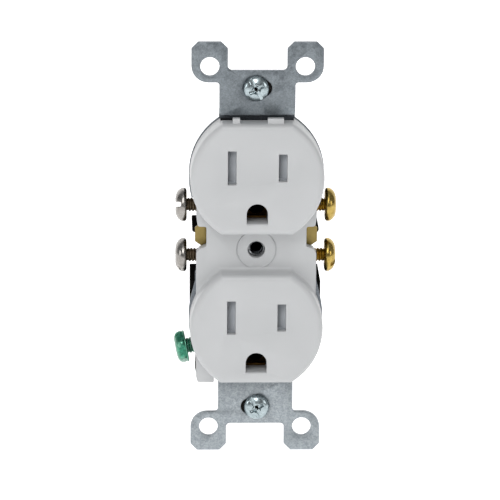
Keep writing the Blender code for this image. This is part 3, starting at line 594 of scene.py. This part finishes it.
MATERIALS = {
    "white": white_plastic(),
    "black": black_plastic(),
    "grey": grey_plastic(),
    "zinc_strap": galvanised_steel(),
    "zinc": plated("zinc_plate", (0.26, 0.31, 0.33), (0.44, 0.51, 0.53), 0.18, 0.34),
    "nickel": plated("nickel_plate", (0.22, 0.205, 0.19), (0.37, 0.355, 0.335), 0.2, 0.36),
    "dark_thread": plated("oiled_thread", (0.09, 0.068, 0.045), (0.2, 0.155, 0.105), 0.35, 0.5),
    "bright_brass": plated("brass_plate", (0.30, 0.20, 0.045), (0.50, 0.37, 0.115), 0.16, 0.32),
    "brass_thread": plated("brass_thread", (0.22, 0.12, 0.012), (0.42, 0.25, 0.035), 0.25, 0.4),
    "stamped_brass": plated("stamped_brass", (0.15, 0.108, 0.033), (0.25, 0.19, 0.07), 0.34, 0.52, 2.2),
    "bronze": plated("bronze_contact", (0.06, 0.03, 0.006), (0.12, 0.06, 0.014), 0.4, 0.6, 2.2),
    "spring_steel": plated("spring_steel", (0.32, 0.33, 0.34), (0.5, 0.51, 0.52), 0.25, 0.4),
    "collar": plated("tapped_collar", (0.12, 0.125, 0.13), (0.34, 0.35, 0.36), 0.2, 0.35, 0.8),
    "green": green_plating(),
    "fibre": fibre(),
}


def slot_z(outlet):
    return FACE_Z[outlet] + SLOT_ABOVE_FACE


def ground_z(outlet):
    return slot_z(outlet) - GROUND_BELOW_SLOTS


def fastener_z(outlet):
    return slot_z(outlet) + FASTENER_ABOVE_SLOTS


# The white cover.


def face_loft(name, outlet, rings):
    """A solid through outlines of a face, each at a depth and drawn in by an inset."""
    z = FACE_Z[outlet]
    return loft(name, [[(x, y, up) for x, up in face_outline(z, inset)] for y, inset in rings])


def face_block(outlet):
    """One face, with a rounded front edge and a little draft on its side."""
    steps = 7
    rings = [(COVER_BACK, 0.0), (FACE_FRONT + FACE_EDGE, FACE_DRAFT)]
    for i in range(1, steps + 1):
        angle = math.pi / 2 * i / steps
        inset = FACE_DRAFT + FACE_EDGE * (1 - math.cos(angle))
        rings.append((FACE_FRONT + FACE_EDGE * (1 - math.sin(angle)), inset))
    return face_loft(f"{outlet}_face", outlet, rings)


def base_fillet(outlet):
    """The hollow corner where a face rises from the web, kept inside the web's outline."""
    radius = FILLET_RADIUS
    steps = 8
    rings = [(WEB_FRONT + 0.3, -radius)]
    for i in range(steps + 1):
        angle = math.pi / 2 * i / steps
        rings.append((WEB_FRONT - radius * (1 - math.cos(angle)), -radius * (1 - math.sin(angle))))
    rings.append((WEB_FRONT - radius - 0.05, 0.1))
    fillet = face_loft("fillet", outlet, rings)
    through = (-9, 3)
    cut(fillet, slab("inner", face_outline(FACE_Z[outlet], radius), "Y", *through))
    return combine(fillet, "INTERSECT", [slab("within", web_outline(0.2), "Y", *through)])


def ground_hole_chamfer(ground):
    """The wedge that chamfers the lower lip of a ground hole by 0.35 mm, at 45 degrees."""
    lip = ground - GROUND_FLAT
    wedge = [(FACE_FRONT - 0.5, lip + 0.1), (FACE_FRONT - 0.5, lip - 0.85), (FACE_FRONT + 0.45, lip + 0.1)]
    return slab("wedge", wedge, "X", -GROUND_RADIUS, GROUND_RADIUS)


def hollow_face(cover, outlet):
    """The cavity behind a face, with the ground hole's sleeve, the rivet's boss, and the slots."""
    ahead = -10  # a depth in front of the face, where its cutters start
    z = slot_z(outlet)
    ground = ground_z(outlet)
    fastener = fastener_z(outlet)
    inside = face_outline(FACE_Z[outlet], COVER_WALL)
    cut(cover, slab(f"{outlet}_cavity", inside, "Y", CAVITY_FRONT, COVER_BACK + PAST))
    sleeve = arch(ground, GROUND_RADIUS + SLEEVE_WALL, GROUND_FLAT + SLEEVE_WALL)
    join(cover, slab(f"{outlet}_sleeve", sleeve, "Y", CAVITY_FRONT - OVERLAP, SLEEVE_BACK))
    boss = ((0, CAVITY_FRONT - OVERLAP, fastener), (0, COVER_BACK, fastener))
    join(cover, rod(f"{outlet}_boss", *boss, BOSS_RADIUS))
    pin = arch(ground, GROUND_RADIUS, GROUND_FLAT)
    hole = slab(f"{outlet}_ground_hole", pin, "Y", ahead, 0)
    cut(cover, hole, ground_hole_chamfer(ground))
    for side, half_height in SLOT_HALF_HEIGHT.items():
        across = (side * SLOT_X - SLOT_WIDTH / 2, side * SLOT_X + SLOT_WIDTH / 2)
        cut(cover, box(f"{outlet}_slot", across, (ahead, SLOT_BACK), (z - half_height, z + half_height)))
    bore = ((0, BOSS_BORE_FRONT, fastener), (0, COVER_BACK + PAST, fastener))
    cut(cover, rod(f"{outlet}_boss_hole", *bore, BOSS_BORE))


def web_outline(inset=0.0):
    """The web between the faces, with a waist that shows the break-off fins."""
    half = WEB_HALF_WIDTH - inset
    waist = WAIST_HALF_WIDTH - inset
    right = [
        (half, WEB_TOP, 0),
        (half, 8.6, 1.5),
        (14.8 - inset, 6.1, 0.7),
        (waist, 6.05, 0.5),
        (waist, 0.95, 0.4),
        (14.4 - inset, 0.3, 0.6),
        (half, -0.9, 0.4),
        (half, -WEB_TOP, 0),
    ]
    return rounded(right + [(-x, z, r) for x, z, r in reversed(right)], 5)


def corner_tab():
    """The corner of the web that shows below the ground screw."""
    outline = [
        (-WEB_HALF_WIDTH, -26.0, 0),
        (-WEB_HALF_WIDTH, -33.5, 0.6),
        (-14.7, -35.0, 0.4),
        (-10.6, -35.0, 0.3),
        (-10.6, -33.2, 0.5),
        (-9.6, -33.2, 0),
        (-9.0, -26.0, 0),
    ]
    return slab("corner", rounded(outline, 4), "Y", WEB_FRONT, COVER_BACK)


def centre_dish():
    """The cutter for the shallow round dish about the centre hole."""
    profile = [(0, 2), (4.95, 2), (4.95, 0.33), (4.6, 0.12), (2.9, 0), (0, 0)]
    return lathe("dish", profile, (0, WEB_FRONT + DISH_DEPTH, DISH_Z), (0, -1, 0), 72)


def make_cover():
    cover = slab("web", web_outline(), "Y", WEB_FRONT, COVER_BACK)
    join(cover, face_block("upper"), face_block("lower"), corner_tab())
    top = FACE_Z["upper"] + FACE_FLAT
    for across in RIBS_X:
        join(cover, box("rib", across, RIBS_Y, (top - OVERLAP, top + RIB_HEIGHT)))
    across = (-RELIEF_HALF_WIDTH, RELIEF_HALF_WIDTH)
    cut(cover, box("relief", across, (WEB_FRONT, COVER_BACK + PAST), (top - RELIEF_DEPTH, top + PAST)))
    for outlet in FACE_Z:
        hollow_face(cover, outlet)
    cut(cover, centre_dish())
    through = ((0, WEB_FRONT - PAST, 0), (0, COVER_BACK + PAST, 0))
    cut(cover, rod("centre_hole", *through, CENTRE_HOLE_RADIUS, 56))
    ease_edges(cover, 0.16)
    join(cover, base_fillet("upper"), base_fillet("lower"))
    smooth(cover, 35)
    piece(cover, "cover_moulding", "device", MATERIALS["white"], "white_cover", "front_cover")


# The galvanised strap.


def ear_outline(up):
    """The plate with two ears at one end of the strap, whose tops have cut corners."""
    bevel = 1.7
    inner = 7.4
    outer = 16.5
    under = 43.1
    right = [
        (inner, 46.2, 1.0),
        (inner, EAR_END - bevel, 0.4),
        (inner + bevel, EAR_END, 0.4),
        (outer - bevel, EAR_END, 0.4),
        (outer, EAR_END - bevel, 0.4),
        (outer, under, 4.2),
        (NECK_HALF_WIDTH, under, 0.8),
        (NECK_HALF_WIDTH, STEP_Z[up] + 0.2, 0.7),
    ]
    return [(x, up * z) for x, z in rounded(right + [(-x, z, r) for x, z, r in reversed(right)])]


def bridge_outline():
    """The part of the strap behind the cover: a lobe behind each face, and a waist for the terminals."""
    lean = math.degrees(math.acos(NECK_HALF_WIDTH / LOBE_RADIUS))
    shoulder = [(16.95, 16.2), (16.7, 14.5), (16.4, 13.1)]
    side = arc((0, FACE_Z["upper"]), LOBE_RADIUS, lean, 0, 28) + shoulder
    upper = [(NECK_HALF_WIDTH, STEP_Z[1] + STEP_THICKNESS)] + side
    notch = [(16.3, 12.8), (12.0, 12.8), (12.0, -6.4), (15.4, -6.4), (15.4, -9.0), (15.9, -11.0)]
    lower = [(NECK_HALF_WIDTH, STEP_Z[-1] + STEP_THICKNESS)] + side
    return mirrored(upper + notch + [(x, -z) for x, z in reversed(lower)])


def step(up):
    """The step back from the ears' plane, bent round at its front and narrower than the neck."""
    near = STEP_Z[up]
    far = near + STEP_THICKNESS
    corners = [(EAR_FRONT, near, STEP_BEND), (STEP_BACK, near, 0), (STEP_BACK, far, 0), (EAR_FRONT, far, 0)]
    profile = rounded([(y, up * z, radius) for y, z, radius in corners])
    return slab("step", profile, "X", -STEP_HALF_WIDTH[up], STEP_HALF_WIDTH[up])


def ground_direction():
    """Out of the lug: the way from the ground screw's tip to its head, as the CAD's joint says."""
    joint = next(joint for joint in frame["joints"] if joint["name"] == "ground_screw_drive")
    return -Vector(joint["axis"]).normalized()


GROUND_OUT = ground_direction()
GROUND_HEAD = Vector((-17.5, 6.1, -27.7))  # the middle of its head's underside


def strap_tools():
    """The cutters for every hole in the strap."""
    deep = (BRIDGE_FRONT - PAST, BRIDGE_BACK + PAST)
    shallow = (EAR_FRONT - PAST, EAR_BACK + PAST)
    for outlet in FACE_Z:
        z = slot_z(outlet)
        for side in (-1, 1):
            across = sorted(side * x for x in WINDOW_X)
            yield box("window", across, deep, (z - WINDOW_HALF_HEIGHT, z + WINDOW_HALF_HEIGHT))
        ground = ground_z(outlet)
        holes = [
            (ground, CONTACT_HOLE),
            (ground + GROUND_RIVET_ABOVE, GROUND_RIVET_HOLE),
            (fastener_z(outlet), ASSEMBLY_RIVET_HOLE),
        ]
        for height, radius in holes:
            yield rod("hole", (0, deep[0], height), (0, deep[1], height), radius)
    for up in (-1, 1):
        for side in (-1, 1):
            x = side * EAR_HOLE_X
            z = up * EAR_HOLE_Z
            yield rod("ear_hole", (x, shallow[0], z), (x, shallow[1], z), EAR_HOLE_RADIUS)
        yield slab("oblong", oblong(up * SCREW_Z, OBLONG_LENGTH, OBLONG_WIDTH), "Y", *shallow)
    yield rod("tapped_centre", (0, deep[0], 0), (0, deep[1], 0), COLLAR_HOLE)


def thread_wave(angle, height):
    """How high a thread stands at an angle and a height below its start: 0 in the root, 1 on the crest."""
    turn = (-height / THREAD_PITCH - angle / (2 * math.pi)) % 1
    return 1 - abs(2 * turn - 1)


def make_tapped_collar():
    """The strap's drawn and tapped collar, which takes the cover plate's screw."""
    front = 0.1
    bore = 1.47
    back = 2.45
    wall = 2.15
    steps = 26

    def groove(angle, reach, height):
        """A thread on the inner wall, which is left plain at its back."""
        if reach > 1.5 or height < -2.2:
            return reach
        return reach + 0.25 * thread_wave(angle, height)

    inner = [(bore, -back + wall * i / steps) for i in range(steps + 1)]
    rim = [(1.85, -0.02), (1.95, 0), (2.05, -0.12), (2.05, -1.4), (1.9, -back)]
    tube = lathe("collar", (inner + rim)[::-1], (0, front, 0), (0, -1, 0), 48, groove, closed=True)
    smooth(tube, 40)
    piece(tube, "tapped_collar", "device", MATERIALS["collar"], "galvanised_strap", "mounting_strap")


def make_strap():
    strap = slab("bridge", bridge_outline(), "Y", BRIDGE_FRONT, BRIDGE_BACK)
    for up in (1, -1):
        join(strap, step(up), slab("ears", ear_outline(up), "Y", EAR_FRONT, EAR_BACK))
    room = (LUG_Z[0] - LUG_GAP, LUG_Z[1] + LUG_GAP)
    cut(strap, box("relief", (-20, LUG_X[0]), (0, 4), room))
    join(strap, box("lug", LUG_X, (BRIDGE_FRONT, LUG_BACK), LUG_Z))
    shank = (GROUND_HEAD + GROUND_OUT * PAST, GROUND_HEAD - GROUND_OUT * 12)
    cut(strap, rod("lug_bore", *shank, GROUND_SHANK + GROUND_BORE_GAP))
    cut(strap, *strap_tools())
    ease_edges(strap, 0.1)
    make_tapped_collar()
    look = MATERIALS["zinc_strap"]
    piece(strap, "strap_stamping", "device", look, "galvanised_strap", "mounting_strap")


# The screws.


def thread_profile(radius, length, rise):
    """Rings down a shank, close enough to carry a thread, with a blunt end."""
    per_turn = 8
    tip = 0.5
    count = int(length / THREAD_PITCH * per_turn)
    rings = [(radius, -(length - tip) * i / count) for i in range(count + 1)]
    return [(0, rise), (radius, rise)] + rings + [(radius * 0.72, -length), (0, -length)]


def threaded(radius, length, at, direction):
    """A shank with a real helical thread, which fades out under the head and at the tip."""
    rise = 0.5  # how far it runs up into the head

    def thread(angle, reach, height):
        """The radius on the thread, on the bare shank above it, or on the tip below it."""
        if height > 0:
            return reach - THREAD_DEPTH
        if reach < radius:
            return reach * 0.9
        crest = min(1.0, max(0.0, thread_wave(angle, height) * 1.5 - 0.2))
        ends = min(1.0, -height / 0.5, (length + height) / 0.9)
        return reach - THREAD_DEPTH * (1 - crest * max(0.0, ends))

    shank = lathe("shank", thread_profile(radius, length, rise), at, direction, 36, thread)
    smooth(shank, 50)
    return shank


def driver_slot(at, direction, along, length, width, top, painted_depth_shade):
    """A straight slot in a head: a box that reaches a depth below the head's top."""
    outward = Vector(direction).normalized()
    run = Vector(along).normalized()
    across = outward.cross(run)
    height = painted_depth_shade + PAST
    middle = Vector(at) + outward * (top - painted_depth_shade + height / 2)
    corners = [(-0.5, -0.5), (0.5, -0.5), (0.5, 0.5), (-0.5, 0.5)]
    floor = [middle + run * a * length + across * b * width for a, b in corners]
    return loft("driver_slot", [[point + outward * end * height for point in floor] for end in (-0.5, 0.5)])


def binding_head(radius, height):
    """A binding head: a low dome above a rim that is undercut below."""
    dome = [(0, 1), (0.3, 0.995), (0.52, 0.96), (0.7, 0.88), (0.84, 0.74), (0.94, 0.56), (0.99, 0.4)]
    under = [(1.0, 0.28), (0.985, 0.15), (0.93, 0.05), (0.84, 0), (0, 0)]
    return [(radius * across, height * up) for across, up in dome + under]


# Each side's sign, the metals of its heads and threads, and its slot. Then how far each head is turned.
TERMINALS = {
    "neutral": (-1, "nickel", "dark_thread", "nickel_screws"),
    "hot": (1, "bright_brass", "brass_thread", "brass_screws"),
}
HEAD_TURNS = {
    ("neutral", "upper"): 106,
    ("neutral", "lower"): 35,
    ("hot", "upper"): 20,
    ("hot", "lower"): 65,
}


def terminal_head(at, outward, turn):
    """A binding head with a long slot and a short one across it."""
    height = TERMINAL_HEAD_HEIGHT
    head = lathe("head", binding_head(TERMINAL_HEAD_RADIUS, height), at, outward, 56)
    along = Vector((0, math.sin(turn), math.cos(turn)))
    cut(head, driver_slot(at, outward, along, 10, 1.25, height, 1.4))
    cut(head, driver_slot(at, outward, along.cross(outward), 3.6, 1.1, height, 1.6))
    ease_edges(head, 0.09)
    return head


def make_terminal_screws():
    for side_name, (side, head_metal, thread_metal, slot) in TERMINALS.items():
        for outlet in FACE_Z:
            node = f"{side_name}_{outlet}_screw"
            low, high = span(node, "X")
            outer = low if side < 0 else high
            at = (outer - side * TERMINAL_HEAD_HEIGHT, centre(node, "Y"), centre(node, "Z"))
            outward = Vector((side, 0, 0))
            head = terminal_head(at, outward, math.radians(HEAD_TURNS[side_name, outlet]))
            piece(head, f"{node}_head", node, MATERIALS[head_metal], slot, node)
            shank = threaded(SHANK_RADIUS, SHANK_LENGTH, at, outward)
            piece(shank, f"{node}_thread", node, MATERIALS[thread_metal], slot, node)


def make_ground_screw():
    """A six-sided domed head on a round flange, with a long slot and a short one across it."""
    half_across_flats = 3.7
    crown_height = 2.8
    flange = [(0, 0.5), (3.85, 0.5), (4.1, 0.38), (4.1, 0.12), (3.9, 0), (0, 0)]
    crown = [(0, 2.85), (2.1, 2.82), (2.9, 2.66), (3.45, 2.4), (3.85, 2.02), (4.1, 1.55), (4.2, 1.1)]
    crown += [(4.12, 0.75), (3.9, 0.35), (0, 0.3)]

    def hexed(angle, reach, height):
        """A hexagon with one flat towards the front, whose chamfers are round."""
        turn = angle - math.radians(6)
        flat = half_across_flats / math.cos(turn % (math.pi / 3) - math.pi / 6)
        return min(reach, flat)

    head = lathe("head", flange, GROUND_HEAD, GROUND_OUT, 60)
    join(head, lathe("crown", crown, GROUND_HEAD, GROUND_OUT, 90, hexed))
    along = Vector((0, 1, 0.2)).cross(GROUND_OUT)
    across = along.cross(GROUND_OUT)
    cut(head, driver_slot(GROUND_HEAD, GROUND_OUT, along, 8, 1.0, crown_height, 1.1))
    cut(head, driver_slot(GROUND_HEAD, GROUND_OUT, across, 3.6, 0.9, crown_height, 1.4))
    ease_edges(head, 0.08)
    green = MATERIALS["green"]
    piece(head, "ground_screw_head", "ground_screw", green, "green_screw", "ground_screw")
    shank = threaded(GROUND_SHANK, SHANK_LENGTH, GROUND_HEAD, GROUND_OUT)
    piece(shank, "ground_screw_thread", "ground_screw", green, "green_screw", "ground_screw")


def oval_head(radius, height):
    """The profile of a domed head with a low upright rim."""
    rim = 0.45
    steps = 10
    dome = [(0, height)]
    for i in range(1, steps + 1):
        angle = math.pi / 2 * i / steps
        dome.append((radius * math.sin(angle), rim + (height - rim) * math.cos(angle) ** 0.9))
    return dome + [(radius, 0.15), (radius - 0.12, 0), (0, 0)]


def make_mounting_screws():
    slot_angle = math.radians(120)
    along = Vector((math.cos(slot_angle), 0, math.sin(slot_angle)))
    outward = Vector((0, -1, 0))
    height = 2.0
    recess = [(0, 3), (1.1, 3), (1.1, 1.9), (0.3, 0.6), (0, 0.6)]
    for outlet in FACE_Z:
        node = f"{outlet}_mounting_screw"
        at = (centre(node, "X"), span(node, "Y")[0] + height, centre(node, "Z"))
        head = lathe("head", oval_head(3.2, height), at, outward, 56)
        cut(head, driver_slot(at, outward, along, 8, 0.85, height, 0.95))
        cut(head, driver_slot(at, outward, along.cross(outward), 3.9, 0.85, height, 1.2))
        cut(head, lathe("recess", recess, at, outward, 24))
        ease_edges(head, 0.07)
        piece(head, f"{node}_head", node, MATERIALS["zinc"], "zinc_screws", node)
        shank = threaded(SHANK_RADIUS, RETAINED_SHANK, at, outward)
        piece(shank, f"{node}_thread", node, MATERIALS["zinc"], "zinc_screws", node)


# The springs, and the nodes that keep their CAD shape.


def coil(start, end, middle):
    """A coil along X from a start to an end, round a middle line."""
    wire = 0.14
    reach = 0.85
    turns = 5
    steps = turns * 28
    along = Vector((1, 0, 0))
    section = arc((0, 0), 1, 0, 324, 9)
    rings = []
    for i in range(steps + 1):
        angle = 2 * math.pi * turns * i / steps
        radial = Vector((0, math.cos(angle), math.sin(angle)))
        x = start + wire + (end - start - 2 * wire) * i / steps
        point = middle + reach * radial + Vector((x, 0, 0))
        rings.append([point + wire * (out * radial + aside * along) for out, aside in section])
    return loft("coil", rings)


def make_shutter_springs():
    """The coil between each shutter's lug and the post."""
    for outlet in FACE_Z:
        node = f"{outlet}_shutter_spring"
        start, end = span(node, "X")
        middle = Vector((0, centre(node, "Y"), centre(node, "Z")))
        spring = coil(start, end, middle)
        smooth(spring, 50)
        steel = MATERIALS["spring_steel"]
        piece(spring, f"{node}_coil", "device", steel, "spring_steel", node)
        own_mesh(spring)


def dress_cad_nodes():
    """Gives a finished material to each node whose CAD shape is kept."""
    looks = {
        "back_body": "black",
        "neutral_terminal": "stamped_brass",
        "hot_terminal": "stamped_brass",
    }
    for outlet in FACE_Z:
        looks[f"{outlet}_ground_contact"] = "bronze"
        looks[f"{outlet}_ground_rivet"] = "stamped_brass"
        looks[f"{outlet}_assembly_rivet"] = "spring_steel"
        looks[f"{outlet}_screw_retainer"] = "fibre"
        looks[f"{outlet}_shutter"] = "grey"
        looks[f"{outlet}_shutter_guide"] = "grey"
        looks[f"neutral_{outlet}_wire_clamp"] = "spring_steel"
        looks[f"hot_{outlet}_wire_clamp"] = "spring_steel"
    for node, look in looks.items():
        obj = frame["nodes"][node]
        obj.data.materials.clear()
        obj.data.materials.append(MATERIALS[look])


# The studio.


def glowing(name, strength):
    """A pale matt surface that also gives a little light, so that it stays even."""
    made = Surface(name)
    made.colour(made.ramp(made.noise(120, 1.0), (0.3, (0.90, 0.90, 0.90)), (0.7, (0.92, 0.92, 0.92))))
    made.shader.inputs["Roughness"].default_value = 0.9
    made.shader.inputs["Emission Color"].default_value = (1, 1, 1, 1)
    made.shader.inputs["Emission Strength"].default_value = strength
    return made.material


def make_stage():
    """A floor just under the lower ears, and a wall far behind, joined by a wide curve."""
    floor_z = span("mounting_strap", "Z")[0] - 0.4
    half_width = 1400
    curve = 500
    wall_y = 920
    wall_top = 1500
    bend = arc((wall_y - curve, floor_z + curve), curve, -90, 0, 16)
    path = [(-900, floor_z)] + bend + [(wall_y, wall_top)]
    bm = bmesh.new()
    rows = [[bm.verts.new(Vector((x, y, z)) * MM) for y, z in path] for x in (-half_width, half_width)]
    for i in range(1, len(path)):
        bm.faces.new((rows[0][i - 1], rows[1][i - 1], rows[1][i], rows[0][i]))
    sweep = new_object("floor_and_backdrop", bm)
    sweep.data.materials.append(glowing("stage_white", 0.72))
    sweep.data.shade_smooth()


def add_light(name, place, size, power):
    """A square softbox that faces the object. Its place and size are in metres, its power in watts."""
    data = bpy.data.lights.new(name, "AREA")
    data.size = size
    data.energy = power
    light = bpy.data.objects.new(name, data)
    light.location = place
    light.rotation_euler = (-Vector(place)).to_track_quat("-Z", "Y").to_euler()
    bpy.context.scene.collection.objects.link(light)


def make_lights():
    world = bpy.data.worlds.new("studio")
    world.use_nodes = True
    background = world.node_tree.nodes["Background"]
    background.inputs["Color"].default_value = (0.97, 0.985, 1.0, 1)
    background.inputs["Strength"].default_value = 0.24
    bpy.context.scene.world = world
    add_light("front_box", (-0.15, -0.78, 0.70), 0.6, 5.2)
    add_light("top_box", (0.1, -0.35, 1.0), 0.7, 0.8)
    add_light("right_box", (0.75, -0.45, 0.25), 0.3, 0.9)
    add_light("left_box", (-0.8, -0.3, 0.2), 0.25, 0.9)


def make_camera():
    """The first view: from above the object, a little to its left, and rolled slightly."""
    sin_a, cos_a = math.sin(VIEW_AZIMUTH), math.cos(VIEW_AZIMUTH)
    sin_e, cos_e = math.sin(VIEW_ELEVATION), math.cos(VIEW_ELEVATION)
    back = Vector((sin_a * cos_e, -cos_a * cos_e, sin_e))
    level = (-back).cross(Vector((0, 0, 1))).normalized()
    upright = level.cross(-back)
    right = math.cos(VIEW_ROLL) * level + math.sin(VIEW_ROLL) * upright
    up = math.cos(VIEW_ROLL) * upright - math.sin(VIEW_ROLL) * level
    place = back * VIEW_DISTANCE - right * VIEW_OFFSET[0] - up * VIEW_OFFSET[1]
    data = bpy.data.cameras.new("camera")
    data.lens = LENS
    data.sensor_width = 36.0
    data.clip_start = 0.01
    camera = bpy.data.objects.new("camera", data)
    rotation = Matrix((right, up, back)).transposed().to_4x4()
    camera.matrix_world = Matrix.Translation(place * MM) @ rotation
    bpy.context.scene.collection.objects.link(camera)
    bpy.context.scene.camera = camera
    bpy.context.scene.view_settings.view_transform = "Standard"


make_cover()
make_strap()
make_terminal_screws()
make_ground_screw()
make_mounting_screws()
make_shutter_springs()
dress_cad_nodes()
make_stage()
make_lights()
make_camera()
